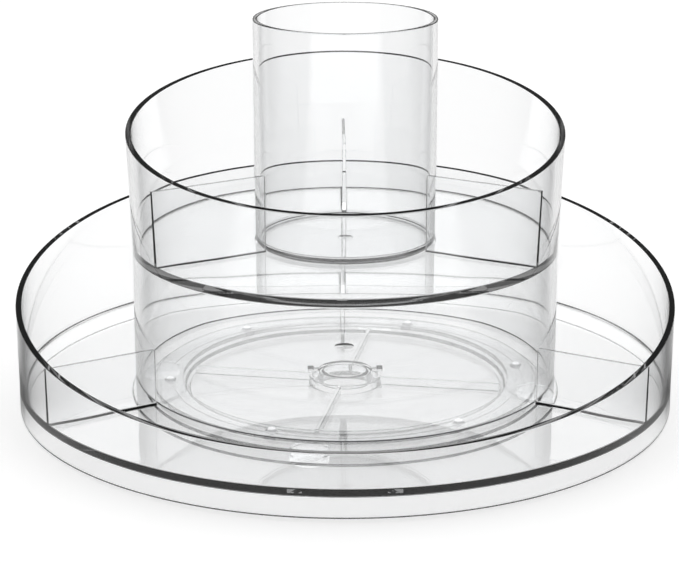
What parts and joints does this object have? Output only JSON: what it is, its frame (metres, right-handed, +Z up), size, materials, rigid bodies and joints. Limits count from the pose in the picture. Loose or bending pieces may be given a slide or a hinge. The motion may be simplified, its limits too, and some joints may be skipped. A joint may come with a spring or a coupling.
{
  "type": "two-tier turntable organiser",
  "caption": "Clear two-tier lazy susan organiser: divided round trays with sloping rims, a lift-out cup in the middle and a ball-bearing turntable base.",
  "frame": {"origin": "on the axis of rotation, at the surface the foot pads stand on", "axes": "+Z up along the axis of rotation, -Y towards the front where both rims are lowest, +X to the right of the front"},
  "size_m": [0.292, 0.292, 0.1727],
  "materials": {
    "clear_plastic": "gloss",
    "clear_pad": "satin",
    "ball_steel": "gloss"
  },
  "bodies": {
    "base": {"base_disc": "clear_plastic", "foot_pad_1": "clear_pad", "foot_pad_2": "clear_pad", "foot_pad_3": "clear_pad", "foot_pad_4": "clear_pad"},
    "ball_ring": {"ball_retainer": "clear_plastic", "ball_1": "ball_steel", "ball_2": "ball_steel", "ball_3": "ball_steel", "ball_4": "ball_steel", "ball_5": "ball_steel", "ball_6": "ball_steel"},
    "lower_tray": {"lower_tray": "clear_plastic"},
    "upper_tier": {"upper_tier": "clear_plastic"},
    "cup": {"cup": "clear_plastic"}
  },
  "joints": [
    {"name": "tray_spin", "type": "hinge", "parent": "base", "child": "lower_tray", "pos_m": [0, 0, 0.0105], "axis": [0, 0, 1], "continuous": true},
    {"name": "ball_ring_spin", "type": "hinge", "parent": "base", "child": "ball_ring", "pos_m": [0, 0, 0.0081], "axis": [0, 0, 1], "continuous": true},
    {"name": "tier_lift", "type": "slide", "parent": "lower_tray", "child": "upper_tier", "axis": [0, 0, 1], "range_m": [0, 0.12]},
    {"name": "cup_lift", "type": "slide", "parent": "upper_tier", "child": "cup", "axis": [0, 0, 1], "range_m": [0, 0.1]}
  ],
  "couplings": [
    {"joint": "ball_ring_spin", "follows": "tray_spin", "ratio": 0.5}
  ]
}
